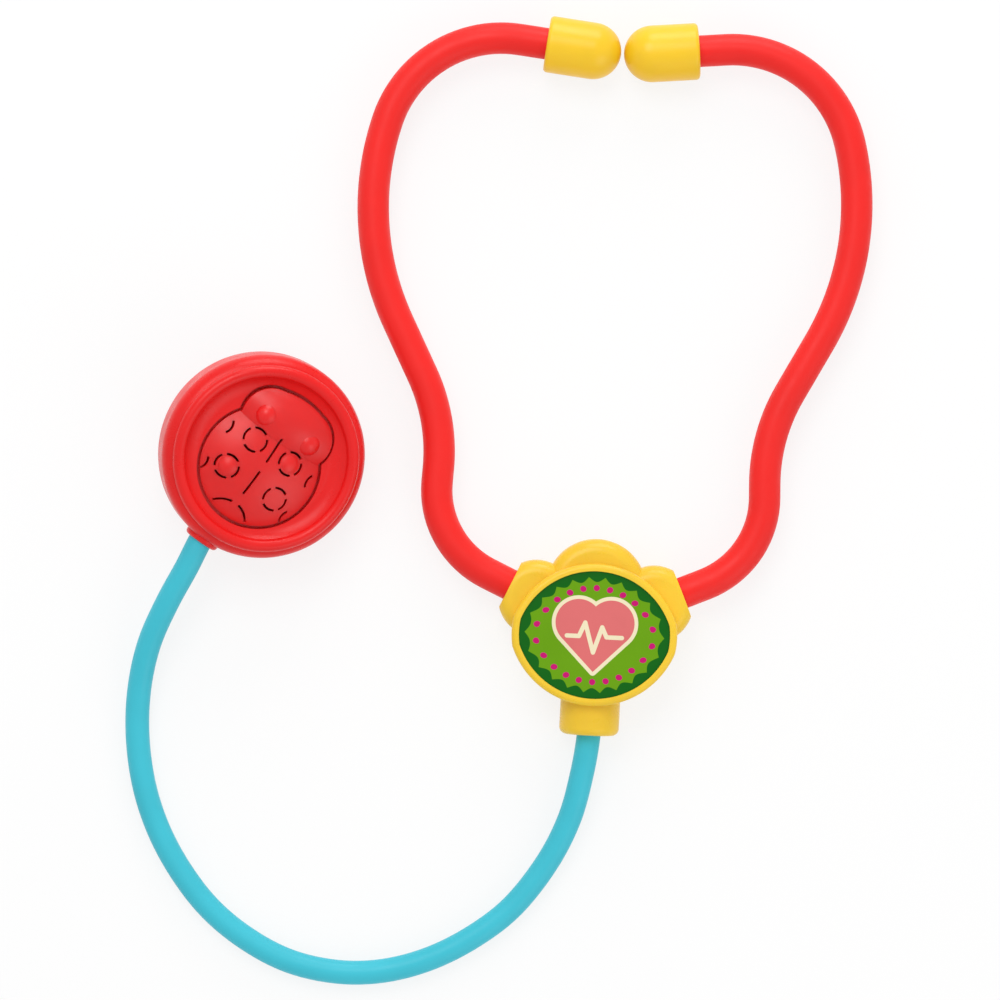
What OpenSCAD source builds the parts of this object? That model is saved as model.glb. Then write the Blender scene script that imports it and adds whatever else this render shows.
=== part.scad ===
// Toy stethoscope lying on a table: a headset of two sprung tubes with ear tips, a hub with
// a medallion, a flexible hose and a round chest piece with a sounding ladybird button.
// The origin is the middle of the hub's flat back, +Z points up from the table and +Y runs
// along the headset's mirror plane to the ear tips. Lengths are in millimetres.

/* [Headset tubes] */
// Outside diameter of a headset tube
tube_d = 9.5; // [8.5:0.1:10.2]
// Bore of a headset tube
tube_bore = 5.3; // [4.5:0.1:6]
// Depth of a headset tube in its hub socket
tube_seat = 11; // [9:0.5:12]
// Straight run outside the hub socket
hub_run = 7.5; // [5:0.5:10]
// Radius of the bend above the hub
hub_bend_r = 28; // [25:0.5:31]
// Turn of the bend above the hub
hub_bend = 68.5; // [64:0.5:72]
// Straight run at the waist
waist_run = 4; // [2:0.5:8]
// Radius of the reverse bend at the waist
waist_bend_r = 55; // [48:1:62]
// Turn of the reverse bend at the waist
waist_bend = 30; // [26:0.5:33]
// Straight run up the side
side_run = 17.5; // [14:0.5:21]
// Radius of the long side bend
side_bend_r = 82; // [76:1:88]
// Turn of the long side bend
side_bend = 43.5; // [40:0.5:47]
// Radius of the top bend
top_bend_r = 36; // [33:0.5:39]
// Turn of the top bend
top_bend = 80; // [77:0.5:83]

/* [Ear tips] */
// Diameter of an ear tip
ear_d = 17; // [16:0.5:18.5]
// Length of an ear tip
ear_len = 22.5; // [20:0.5:25]
// Depth of a tube in its ear tip
ear_seat = 9; // [6:0.5:11]
// Round on the edge of an ear tip's base
ear_edge = 1.2; // [0.6:0.1:2]
// Gap between the two noses at rest
ear_gap = 0.8; // [0.3:0.1:2]

/* [Hub] */
// Width of the medallion
badge_w = 49.4; // [47:0.2:52]
// Height of the medallion
badge_h = 42.4; // [40:0.2:45]
// Radius of the medallion's upper and lower arcs
badge_arc_r = 26; // [24.5:0.5:30]
// Thickness of the medallion frame
badge_t = 4; // [3.4:0.1:5]
// Round on the medallion's edge
badge_edge = 1.4; // [0.8:0.1:1.6]
// Width of the medallion's rim
rim_w = 2.2; // [1.8:0.1:3]
// Thickness of the printed plate
plate_t = 1; // [0.8:0.1:1.4]
// Depth of the printed plate below the rim
plate_drop = 0.5; // [0.2:0.1:0.8]
// Diameter of the medallion's two pegs
peg_d = 4; // [3:0.5:5]
// Length of the medallion's two pegs
peg_len = 4; // [3:0.5:5]
// Distance of each peg from the middle
peg_x = 8; // [6:0.5:9]
// Overhang of the medallion past the yoke
yoke_inset = 1.4; // [1:0.1:2]
// Wall of the yoke
yoke_wall = 2.2; // [1.8:0.1:2.6]
// Round on the yoke's edges
yoke_edge = 4; // [3:0.5:5]
// Distance of each socket's mouth from the mirror plane
socket_x = 25.75; // [25:0.25:27]
// Height of each socket's mouth above the origin
socket_y = 13.5; // [12:0.25:15]
// Rise of each socket toward its mouth
socket_tilt = 24; // [20:0.5:27]
// Wall of the sleeve round each socket
sleeve_wall = 1.8; // [1.6:0.1:2.2]
// Wall behind each socket
socket_end = 1.8; // [1.4:0.1:2.4]
// Radius of the side lobes round the sockets
lobe_r = 11.5; // [10:0.1:12]
// Distance from a lobe's middle to its socket's mouth
lobe_reach = 8.8; // [8.2:0.1:9.2]
// Radius of the rounded crest above the medallion
crest_r = 15; // [12:0.5:16]
// Height of the crest's middle above the origin
crest_y = 13.5; // [12:0.5:15]
// Height of the upper yoke screw above the origin
top_screw_y = 19; // [18:0.5:21]
// Distance of each lower yoke screw from the mirror plane
low_screw_x = 12.5; // [11:0.5:14]
// Depth of the lower yoke screws below the origin
low_screw_y = 8; // [6:0.5:9]

/* [Hose] */
// Outside diameter of the hose
hose_d = 7.2; // [6.4:0.1:7.4]
// Bore of the hose
hose_bore = 4; // [3.6:0.1:4.4]
// Depth of the hose in its collar
hose_seat = 10; // [8:0.5:11]
// Depth of the hose in the chest piece
boss_seat = 5.5; // [4.5:0.1:6]
// Diameter of the collar under the hub
collar_d = 17.9; // [16.6:0.1:19]
// Length of the collar outside the hub
collar_len = 10.3; // [10:0.1:12]
// Round on the collar's outer edge
collar_edge = 2.2; // [1:0.1:3]
// Diameter of the collar's neck in the hub's wall
neck_d = 9.8; // [9.4:0.1:10.4]
// Diameter of the collar's flange inside the hub
flange_d = 12; // [11.4:0.1:12.4]
// Thickness of the collar's flange
flange_t = 1.8; // [1.4:0.1:2.4]
// Depth of the collar's flange behind the hub's outside
flange_deep = 3.5; // [3.2:0.1:4]

/* [Plugs and screws] */
// Thickness of the head of a tube plug
plug_head = 2; // [1.6:0.1:2.4]
// Length of a tube plug's stem
plug_stem = 8; // [6:0.5:9]
// Thickness of the head of a hose plug
hose_plug_head = 1.5; // [1.2:0.1:1.8]
// Length of a hose plug's stem
hose_plug_stem = 5; // [4:0.5:5]
// Shank diameter of the housing screws
screw_d = 2.2; // [2:0.1:2.6]
// Head diameter of the housing screws
screw_head_d = 4.6; // [4.2:0.1:5]
// Head height of the housing screws
screw_head_h = 1.6; // [1.2:0.1:2]
// Depth of the screw heads' seats
screw_sink = 3; // [2.4:0.1:3.4]
// Diameter of the screw bosses
boss_d = 6; // [5.8:0.1:6.4]
// Length of thread past the joint
screw_bite = 4; // [2.5:0.5:5]

/* [Chest piece place] */
// Middle of the chest piece's back across the headset
chest_x = -104.1; // [-112:0.1:-103]
// Middle of the chest piece's back along the headset
chest_y = 50.2; // [46:0.1:55]
// Turn of the chest piece on the table
chest_turn = -32.5; // [-40:0.5:-25]
// Roll of the chest piece about its hose
chest_roll = 14; // [8:0.5:16]

/* [Chest piece shells] */
// Diameter of the chest piece
chest_d = 61.1; // [60.5:0.1:66]
// Wall of the chest piece
chest_wall = 2; // [1.6:0.1:2.2]
// Round on the back's edge
back_edge = 7.75; // [7:0.05:8.5]
// Height of the joint between the shells
chest_split = 11; // [10.5:0.1:12]
// Height of the straight side
side_top = 15.2; // [14.5:0.1:16]
// Round of the shoulder above the side
shoulder_r = 4.5; // [4:0.1:4.8]
// Distance from the outside to the middle of the rim bead
bead_inset = 4.5; // [4.2:0.1:4.8]
// Radius of the rim bead
bead_r = 1.9; // [1.6:0.1:2.2]
// Height of the middle of the rim bead
bead_z = 20.6; // [20.2:0.1:21]
// Height of the face in the middle
face_z = 19; // [18.8:0.1:19.4]
// Radius of the round by which the face rises to the bead
dish_r = 6; // [5:0.1:7]
// Distance from the middle of the bead to the start of that round
dish_w = 6.2; // [5.6:0.1:6.6]
// Thickness of the face in the middle
face_t = 1.8; // [1.6:0.1:2.2]
// Height of the lip on the joint
lip_h = 1.2; // [0.8:0.1:1.6]
// Thickness of the lip on the joint
lip_t = 0.9; // [0.8:0.1:1.2]
// Diameter of the hose boss
hose_boss_d = 10.8; // [10.4:0.1:11.6]
// Reach of the hose boss's mouth beyond the outside
hose_boss_over = 1.25; // [0.8:0.05:1.6]
// Wall behind the hose plug in its boss
boss_back = 1.2; // [1:0.1:1.4]
// Distance of the housing screws from the outside
screw_inset = 5.45; // [5.3:0.05:5.5]

/* [Ladybird button] */
// Radius of the ladybird's body
bug_body_r = 17.8; // [17.2:0.1:18.2]
// Place of the body's middle along the axis
bug_body_y = -3.2; // [-3.6:0.1:-2.8]
// Radius of the head's corners
bug_head_r = 8.8; // [8.2:0.1:9.2]
// Distance of the head's corners from the axis
bug_head_x = 5.8; // [5.2:0.1:6.4]
// Place of the head's corners along the axis
bug_head_y = 10.8; // [10.4:0.1:11]
// Radius of the brow between the head's corners
bug_brow_r = 22; // [20:0.5:25]
// Height of the brow above the head's corners
bug_brow_h = 1; // [0.8:0.1:1.2]
// Gap between the button and its opening
bug_gap = 0.9; // [0.7:0.05:1]
// Wall of the button's skirt
bug_wall = 1.6; // [1.2:0.1:1.8]
// Thickness of the button's top
cap_t = 2; // [1.6:0.1:2.2]
// Radius of the body's crown
cap_r = 34; // [32:1:45]
// Height of the body's crown
cap_top = 24; // [23.2:0.1:24.4]
// Radius of the head's ridge across its middle
head_r = 13; // [12:0.1:14]
// Radius of the head's ridge from side to side
head_bow_r = 30; // [28:1:36]
// Place of the head's ridge along the axis
head_ridge_y = 12.2; // [11.8:0.1:12.6]
// Height of the head's ridge
head_top = 24.2; // [23.8:0.1:24.6]
// Radius of an eye
eye_r = 4; // [3.6:0.1:4.4]
// Rise of an eye above the head
eye_rise = 1; // [0.8:0.1:1.2]
// Radius of a domed spot
spot_dome_r = 5; // [4.6:0.1:5.4]
// Rise of a domed spot above the body
spot_rise = 0.7; // [0.5:0.1:0.9]
// Thickness of the button's flange
bug_flange_t = 1.4; // [1.2:0.1:1.6]
// Hold of the flange under the face
bug_flange_hold = 0.8; // [0.6:0.1:1]
// Travel of the button
travel = 2; // [1.5:0.1:2.2]
// Width of the sound slots
slot_w = 0.7; // [0.6:0.05:1]
// Radius of the ring spots
spot_r = 3.5; // [3.2:0.1:3.8]
// Arc of each slot in a ring spot
spot_arc = 68; // [56:1:76]

/* [Chest piece insides] */
// Diameter of the loudspeaker
speaker_d = 28; // [26:0.5:29]
// Height of the loudspeaker above its frame
speaker_h = 2.2; // [1.8:0.1:2.3]
// Diameter of the loudspeaker's magnet
magnet_d = 14; // [12:0.5:16]
// Height of the magnet below the frame's top
magnet_h = 3; // [2.4:0.1:3.2]
// Thickness of the loudspeaker frame
frame_t = 1.6; // [1.4:0.1:1.8]
// Distance from the shell's inside to the edge of the loudspeaker frame
frame_inset = 5.95; // [5.6:0.05:6.4]
// Thickness of the circuit board
board_t = 1.2; // [1:0.1:1.4]
// Width of the circuit board
board_w = 34; // [32:0.5:35]
// Diameter of a button cell
cell_d = 11.6; // [11.4:0.1:11.8]
// Thickness of a button cell
cell_t = 5.4; // [5:0.1:5.6]
// Thickness of the battery door
door_t = 1.6; // [1.4:0.1:1.8]
// Depth of the cup for the battery door's screw
door_cup = 3.2; // [2.8:0.1:3.6]
// Thickness of the contact strips
strip_t = 0.2; // [0.1:0.05:0.3]
// Height of the rubber switch dome
dome_h = 3.4; // [3:0.1:3.5]
// Wire diameter of the return springs
wire_d = 0.5; // [0.4:0.05:0.6]
// Coil diameter of the return springs
coil_d = 4; // [3.8:0.1:4.2]
// Turns of each return spring
coil_turns = 4; // [3:1:5]

/* [Fits] */
// Radial clearance of pieces that are pressed or clamped together
fit = 0.05; // [0.02:0.01:0.1]
// Clearance of pieces that slide or drop into place
slide_fit = 0.15; // [0.1:0.01:0.2]

/* [Hidden] */
$fn = 64;

big = 200;
red = [0.93, 0.19, 0.18];
tube_red = [0.97, 0.22, 0.2];
yellow = [0.97, 0.8, 0.22];
steel = [0.75, 0.76, 0.78];

// Heights in the hub
axis_z = ear_d / 2;
yoke_top = 2 * axis_z;
badge_top = yoke_top + badge_t;
plate_z = badge_top - plate_drop - plate_t;

// The medallion's upper and lower arcs cross its side arcs, which lie about the middle
oval_cy = badge_arc_r - badge_h / 2;
yoke_low = badge_h / 2 - yoke_inset;

// A tube's path is a list of runs [length, 0] and bends [radius, turn]. A place on it is
// [x, y, heading]
function bend_mid(s, r, turn) =
  [s.x - sign(turn) * r * sin(s[2]), s.y + sign(turn) * r * cos(s[2])];
function bend_end(s, r, turn) =
  let (c = bend_mid(s, r, turn), h = s[2] + turn)
  [c.x + sign(turn) * r * sin(h), c.y - sign(turn) * r * cos(h), h];
function step(s, leg) = leg[1] == 0
  ? [s.x + leg[0] * cos(s[2]), s.y + leg[0] * sin(s[2]), s[2]]
  : bend_end(s, leg[0], leg[1]);
function along(s, legs, n) = n == 0 ? s : step(along(s, legs, n - 1), legs[n - 1]);

nick = 0.05;
cuff = 0.4;
cuff_over = 0.02;
mouth = [socket_x, socket_y, socket_tilt];
seat_foot = step(mouth, [-tube_seat, 0]);
flex_legs = [[tube_seat + hub_run, 0], [hub_bend_r, hub_bend]];
arm_start = along(seat_foot, flex_legs, 2);
arm_legs = [[waist_run, 0], [waist_bend_r, -waist_bend], [side_run, 0],
  [side_bend_r, side_bend], [top_bend_r, top_bend]];
arm_end = along(arm_start, arm_legs, 5);
// The last run is as long as brings the noses of the ear tips to the mirror plane
end_run = (ear_gap / 2 + ear_d / 2 - arm_end.x) / cos(arm_end[2]) - ear_len + ear_d / 2;
ear_base = step(arm_end, [end_run, 0]);

// Places in the yoke
lobe = step(mouth, [-lobe_reach, 0]);
sleeve_r = tube_d / 2 + fit + sleeve_wall;
socket_deep = tube_seat + plug_head;
yoke_screw_at = [[0, top_screw_y], [-low_screw_x, -low_screw_y], [low_screw_x, -low_screw_y]];
peg_y = 2;
collar_in = yoke_low + slide_fit;
collar_out = collar_in + collar_len;

// Heights in the chest piece, from its back
back_flat = chest_d / 2 - back_edge;
chest_in = chest_d / 2 - chest_wall;
bead_ring_r = chest_d / 2 - bead_inset;
dish_from = bead_ring_r - dish_w;
chest_screw_r = chest_d / 2 - screw_inset;
hose_boss_reach = chest_d / 2 + hose_boss_over;
frame_r = chest_in - frame_inset;
face_under = face_z - face_t;
flange_top = face_under - 0.1;
flange_low = flange_top - bug_flange_t;
frame_top = flange_low - travel - slide_fit;
frame_low = frame_top - frame_t;
strip_low = door_t + strip_t;
cell_low = strip_low + slide_fit;
roof_low = cell_low + cell_t + slide_fit + strip_t;
roof_t = 1.2;
board_low = roof_low + roof_t + slide_fit;
board_top = board_low + board_t;
chest_lift = back_flat * sin(chest_roll) + back_edge * (1 - cos(chest_roll));
boss_deep = boss_seat + hose_plug_head;
boss_end = boss_deep + boss_back - hose_boss_reach;

// Plan of the chest piece's insides, with the ladybird's head toward +Y
cell_pitch = cell_d + 0.5;
bay_w = 2 * cell_pitch + cell_d + 2 * slide_fit + 1;
bay_h = cell_d + 2 * slide_fit;
bay_y = -4;
bay_wall = 1.4;
ledge = 1.4;
door_w = bay_w + 2 * ledge;
door_h = bay_h + 2 * ledge;
door_corner = 2.5;
door_screw_y = bay_y + door_h / 2 + 2.2;
door_tab_r = 4;
door_cup_r = screw_head_d / 2 + 0.9;
board_y0 = bay_y - 4;
board_y1 = 19.5;
board_post = [13.5, 13];
spring_at = [8.4, 13.2];
switch_y = 15.6;
chest_screw_a = [35, 145, 220, 320];
lip_r = speaker_d / 2 + slide_fit;
post_d = coil_d - wire_d - 1;

// Ladybird's brow, which ends inside the head's corners
brow_y = bug_head_y + bug_head_r + bug_brow_h - bug_brow_r;
brow_x = bug_head_x + 0.3 * bug_head_r;
brow_end = [brow_x, sqrt(bug_brow_r * bug_brow_r - brow_x * brow_x)];
spots = [[-6.4, 2.8], [6.4, 2.8], [-8.8, -8.4], [8.8, -8.4]];
edge_spots = [[-17.4, 1.6], [17.4, 1.6], [-17.4, -11.4], [17.4, -11.4]];
eye_at = [7.4, 10.9];

// Place in the part of a point in the chest piece
function in_part(p) =
  let (x = p.x * cos(chest_roll) + p.z * sin(chest_roll),
    z = p.z * cos(chest_roll) - p.x * sin(chest_roll))
  [chest_x + x * cos(chest_turn) - p.y * sin(chest_turn),
    chest_y + x * sin(chest_turn) + p.y * cos(chest_turn), chest_lift + z];

// Route of the hose on the table, from the collar to the chest piece
hose_free = [[-1.5, -42.5, 7.6], [-4.5, -56, 5.6], [-10.5, -69.5, 4.1], [-20, -83, 3.6],
  [-31, -92.5, 3.6], [-44, -100, 3.6], [-58, -104.5, 3.6], [-72, -105.5, 3.6],
  [-86.5, -103, 3.6], [-99.5, -97, 3.6], [-111, -88.5, 3.6], [-120.5, -77.5, 3.6],
  [-128, -65, 3.6], [-133, -51.5, 3.6], [-135.5, -37, 4.1], [-135.5, -23, 5.6],
  [-133, -9.5, 9], [-128, 3, 13], [-122.5, 14, 16]];
hose_path = concat(
  [[0, hose_seat - collar_out, axis_z], [0, -collar_out, axis_z]],
  hose_free,
  [in_part([0, -hose_boss_reach, chest_split]),
    in_part([0, boss_seat - hose_boss_reach, chest_split])]);

// A tube swept along points, with a bore where r_in is above 0
function unit(v) = v / norm(v);
function heading(p, i) =
  let (n = len(p) - 1)
  i == 0 ? unit(p[1] - p[0])
  : i == n ? unit(p[n] - p[n - 1])
  : unit(unit(p[i] - p[i - 1]) + unit(p[i + 1] - p[i]));
function ring(c, t, r, n, ref) =
  let (s = unit(cross(t, ref)), u = cross(s, t))
  [for (k = [0 : n - 1]) c + r * (cos(360 * k / n) * s + sin(360 * k / n) * u)];
function skin(m, n, o, flip) =
  [for (i = [0 : m - 2], k = [0 : n - 1])
    let (a = o + i * n + k, b = o + i * n + (k + 1) % n)
    each flip ? [[a, b + n, b], [a, a + n, b + n]] : [[a, b, b + n], [a, b + n, a + n]]];
function fan(n, o, flip) =
  [for (k = [1 : n - 2]) flip ? [o, o + k, o + k + 1] : [o, o + k + 1, o + k]];
function rim(n, a, b, flip) =
  [for (k = [0 : n - 1])
    let (l = (k + 1) % n)
    each flip ? [[a + k, b + l, a + l], [a + k, b + k, b + l]]
      : [[a + k, a + l, b + l], [a + k, b + l, b + k]]];

module swept(p, r_out, r_in, n, ref) {
  m = len(p);
  outer = [for (i = [0 : m - 1]) each ring(p[i], heading(p, i), r_out, n, ref)];
  inner = r_in > 0 ? [for (i = [0 : m - 1]) each ring(p[i], heading(p, i), r_in, n, ref)] : [];
  q = m * n;
  ends = r_in > 0
    ? concat(skin(m, n, q, true), rim(n, 0, q, true), rim(n, q - n, 2 * q - n, false))
    : concat(fan(n, 0, false), fan(n, q - n, true));
  polyhedron(concat(outer, inner), concat(skin(m, n, 0, false), ends));
}

// Headset

// One leg of a tube of radius r, short of its ends by the nicks a and b
module tube_leg(s, leg, r, a, b) {
  if (leg[1] == 0) {
    at_place(step(s, [a, 0]))
      cylinder(r = r, h = leg[0] - a - b);
  } else {
    c = bend_mid(s, leg[0], leg[1]);
    ka = a / leg[0] * 180 / PI;
    kb = b / leg[0] * 180 / PI;
    from = leg[1] > 0 ? s[2] - 90 + ka : s[2] + 90 + leg[1] + kb;
    translate([c.x, c.y, axis_z])
      rotate([0, 0, from])
        rotate_extrude(angle = abs(leg[1]) - ka - kb)
          translate([leg[0], 0])
            circle(r);
  }
}

// Solid rod of radius r along legs, whose nicked joints are bridged by cuffs
module rod(start, legs, r, ends) {
  n = len(legs);
  for (i = [0 : n - 1])
    tube_leg(along(start, legs, i), legs[i], r, i == 0 && !ends ? 0 : nick,
      i == n - 1 && !ends ? 0 : nick);
  for (i = [ends ? 0 : 1 : ends ? n : n - 1])
    at_place(step(along(start, legs, i), [-cuff, 0]))
      cylinder(r = r + cuff_over, h = 2 * cuff);
}

module tube_along(start, legs) {
  difference() {
    rod(start, legs, tube_d / 2 - cuff_over, false);
    rod(start, legs, tube_bore / 2 - cuff_over, true);
  }
}

module at_place(s) {
  translate([s.x, s.y, axis_z])
    rotate([0, 0, s[2]])
      rotate([0, 90, 0])
        children();
}

module ear_tip() {
  at_place(ear_base)
    rotate_extrude()
      difference() {
        union() {
          translate([0, ear_len - ear_d / 2])
            intersection() {
              circle(d = ear_d);
              square(ear_d);
            }
          translate([0, ear_edge])
            square([ear_d / 2, ear_len - ear_d / 2 - ear_edge]);
          square([ear_d / 2 - ear_edge, 2 * ear_edge]);
          translate([ear_d / 2 - ear_edge, ear_edge])
            circle(ear_edge);
        }
        translate([0, -1])
          square([tube_d / 2 + fit, ear_seat + 1]);
      }
}

module arm_tube() {
  tube_along(step(arm_start, [nick, 0]),
    concat([[waist_run - nick, 0]], [for (i = [1 : 4]) arm_legs[i]], [[end_run + ear_seat - slide_fit, 0]]));
}

module tube_plug() {
  at_place(step(seat_foot, [-plug_head, 0])) {
    cylinder(d = tube_d, h = plug_head);
    cylinder(d = tube_bore - 2 * fit, h = plug_head + plug_stem);
  }
}

module left_ear_tip() color(yellow) mirror([1, 0, 0]) ear_tip();
module right_ear_tip() color(yellow) ear_tip();
module left_arm_tube() color(tube_red) mirror([1, 0, 0]) arm_tube();
module right_arm_tube() color(tube_red) arm_tube();
module left_tube_flex() color(tube_red) mirror([1, 0, 0]) tube_along(seat_foot, flex_legs);
module right_tube_flex() color(tube_red) tube_along(seat_foot, flex_legs);
module left_tube_plug() color("white") mirror([1, 0, 0]) tube_plug();
module right_tube_plug() color("white") tube_plug();

// Hub

// A rectangle whose outer corners are rounded, for a revolved or swept edge
module edge_profile(w, h, e) {
  square([w - e, h]);
  translate([0, e])
    square([w, h - 2 * e]);
  for (y = [e, h - e])
    translate([w - e, y])
      circle(e);
}

module pebble(r, h, e) {
  rotate_extrude()
    edge_profile(r, h, e);
}

// Outline of the medallion, smaller by d all round
module oval(d) {
  intersection() {
    circle(badge_w / 2 - d);
    translate([0, oval_cy])
      circle(badge_arc_r - d);
    translate([0, -oval_cy])
      circle(badge_arc_r - d);
  }
}

// Oval slab of height h whose edge has a round of e
module oval_slab(d, h, e) {
  intersection() {
    pebble(badge_w / 2 - d, h, e);
    translate([0, oval_cy, 0])
      pebble(badge_arc_r - d, h, e);
    translate([0, -oval_cy, 0])
      pebble(badge_arc_r - d, h, e);
  }
}

module right_socket_axis(depth) {
  at_place(step(mouth, [-depth, 0]))
    children();
}

module both_sides() {
  children();
  mirror([1, 0, 0])
    children();
}

// Whole form of the yoke, drawn in by d
module yoke_form(d) {
  h = yoke_top - 2 * d;
  e = yoke_edge - d / 2;
  translate([0, 0, d]) {
    oval_slab(yoke_inset + d, h, e);
    translate([0, crest_y, 0])
      pebble(crest_r - d, h, e);
  }
  both_sides()
    difference() {
      translate([lobe.x, lobe.y, d])
        pebble(lobe_r - d, h, e);
      at_place(step(mouth, [-d, 0]))
        translate([-lobe_r, -lobe_r, 0])
          cube([2 * lobe_r, 2 * lobe_r, lobe_r]);
    }
}

// Solid parts that hold the tubes and the screws inside the yoke
module yoke_cores() {
  both_sides()
    right_socket_axis(socket_deep + socket_end)
      cylinder(r = sleeve_r, h = socket_deep + socket_end - yoke_wall / 2);
  for (p = yoke_screw_at)
    translate([p.x, p.y, yoke_wall / 2])
      cylinder(d = boss_d, h = yoke_top - yoke_wall);
  neck_axis(yoke_low - flange_deep + slide_fit + 0.5)
    cylinder(d = flange_d + 2 * sleeve_wall, h = flange_t + 2 * slide_fit + 2);
}

// Axis of the collar's neck, going inward from y below the origin
module neck_axis(y) {
  translate([0, -y, axis_z])
    rotate([-90, 0, 0])
      children();
}

// Bores for the tubes, their plugs and the collar's neck
module yoke_bores() {
  both_sides()
    right_socket_axis(socket_deep)
      cylinder(d = tube_d + 2 * fit, h = socket_deep + lobe_r);
  neck_axis(collar_out)
    cylinder(d = neck_d + 2 * fit, h = collar_len + flange_deep + flange_t);
  neck_axis(yoke_low - flange_deep + slide_fit)
    cylinder(d = flange_d + 2 * slide_fit, h = flange_t + 2 * slide_fit);
}

module yoke_half(z0) {
  intersection() {
    difference() {
      union() {
        difference() {
          yoke_form(0);
          yoke_form(yoke_wall);
        }
        yoke_cores();
      }
      yoke_bores();
    }
    translate([-big / 2, -big / 2, z0])
      cube([big, big, axis_z]);
  }
}

module yoke_back() {
  color(yellow)
    difference() {
      yoke_half(0);
      for (p = yoke_screw_at)
        translate([p.x, p.y, -1]) {
          cylinder(d = screw_d + 2 * slide_fit, h = yoke_top);
          cylinder(d = screw_head_d + 2 * slide_fit, h = screw_sink + 1);
        }
    }
}

module yoke_front() {
  color(yellow)
    difference() {
      yoke_half(axis_z);
      for (p = yoke_screw_at)
        translate([p.x, p.y, axis_z - 1])
          cylinder(d = screw_d + 2 * fit, h = screw_bite + 2);
      for (s = [-1, 1])
        translate([s * peg_x, peg_y, yoke_top - peg_len - 1])
          cylinder(d = peg_d + 2 * fit, h = peg_len + 2);
    }
}

// A screw with its head down and the foot of its head at z
module screw(z, tip) {
  translate([0, 0, z])
    cylinder(d = screw_head_d, h = screw_head_h);
  translate([0, 0, z])
    cylinder(d = screw_d, h = tip - z);
}

module yoke_screws() {
  color(steel)
    for (p = yoke_screw_at)
      translate([p.x, p.y, 0])
        screw(screw_sink - screw_head_h, axis_z + screw_bite);
}

module badge_frame() {
  color(yellow)
    translate([0, 0, yoke_top]) {
      difference() {
        oval_slab(0, badge_t, badge_edge);
        translate([0, 0, badge_t - plate_drop - plate_t])
          linear_extrude(badge_t)
            oval(rim_w);
      }
      for (s = [-1, 1])
        translate([s * peg_x, peg_y, -peg_len])
          cylinder(d = peg_d, h = peg_len + badge_t / 4);
    }
}

module badge_insert() {
  color([0.45, 0.66, 0.16])
    translate([0, 0, plate_z])
      linear_extrude(plate_t)
        oval(rim_w + fit);
}

// Hose

module hose_collar() {
  color(yellow)
    intersection() {
      translate([0, -collar_out, axis_z])
        rotate([-90, 0, 0])
          rotate_extrude()
            difference() {
              union() {
                translate([0, collar_edge])
                  square([collar_d / 2, collar_len - collar_edge]);
                square([collar_d / 2 - collar_edge, collar_len]);
                translate([collar_d / 2 - collar_edge, collar_edge])
                  circle(collar_edge);
                square([neck_d / 2, collar_len + slide_fit + flange_deep + flange_t / 2]);
                translate([0, collar_len + slide_fit + flange_deep])
                  square([flange_d / 2, flange_t]);
              }
              translate([0, -1])
                square([hose_d / 2 + fit, hose_seat + hose_plug_head + 1]);
            }
      translate([-big / 2, -big / 2, 0])
        cube(big);
    }
}

module hose_plug() {
  cylinder(d = hose_d, h = hose_plug_head);
  translate([0, 0, -hose_plug_stem])
    cylinder(d = hose_bore * cos(180 / 12) - 2 * fit, h = hose_plug_stem + hose_plug_head);
}

module hub_hose_plug() {
  color("white")
    translate([0, hose_seat - collar_out, axis_z])
      rotate([-90, 0, 0])
        hose_plug();
}

module hose() {
  color([0.24, 0.74, 0.82])
    swept(hose_path, hose_d / 2, hose_bore / 2, 12, [0, 0, 1]);
}

module chest_hose_plug() {
  color("white")
    in_chest()
      translate([0, boss_seat - hose_boss_reach, chest_split])
        rotate([-90, 0, 0])
          hose_plug();
}

// Chest piece

module in_chest() {
  translate([chest_x, chest_y, chest_lift])
    rotate([0, 0, chest_turn])
      rotate([0, chest_roll, 0])
        children();
}

// Bowl of the back, drawn in by d, filled up to height h
module bowl(d, h) {
  rotate_extrude() {
    translate([0, d])
      square([back_flat, h - d]);
    translate([0, back_edge])
      square([chest_d / 2 - d, h - back_edge]);
    translate([back_flat, back_edge])
      intersection() {
        circle(back_edge - d);
        translate([0, -back_edge])
          square(back_edge);
      }
  }
}

module hose_boss() {
  translate([0, -hose_boss_reach, chest_split])
    rotate([-90, 0, 0])
      rotate_extrude() {
        e = 1.2;
        square([hose_boss_d / 2 - e, boss_deep + boss_back]);
        translate([0, e])
          square([hose_boss_d / 2, boss_deep + boss_back - e]);
        translate([hose_boss_d / 2 - e, e])
          circle(e);
      }
}

module hose_boss_bore() {
  translate([0, -hose_boss_reach - 1, chest_split])
    rotate([-90, 0, 0])
      cylinder(d = hose_d + 2 * fit, h = boss_deep + 1);
}

module chest_screw_places() {
  for (a = chest_screw_a)
    rotate([0, 0, a])
      translate([chest_screw_r, 0, 0])
        children();
}

// Outline of the battery door, larger by d
module door_outline(d) {
  w = door_w / 2 - door_corner;
  h = door_h / 2 - door_corner;
  translate([0, bay_y]) {
    square([2 * w + 2 * door_corner + 2 * d, 2 * h], center = true);
    square([2 * w, 2 * h + 2 * door_corner + 2 * d], center = true);
    for (x = [-w, w], y = [-h, h])
      translate([x, y])
        circle(door_corner + d);
  }
  translate([0, door_screw_y])
    circle(door_tab_r + d);
}

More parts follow.
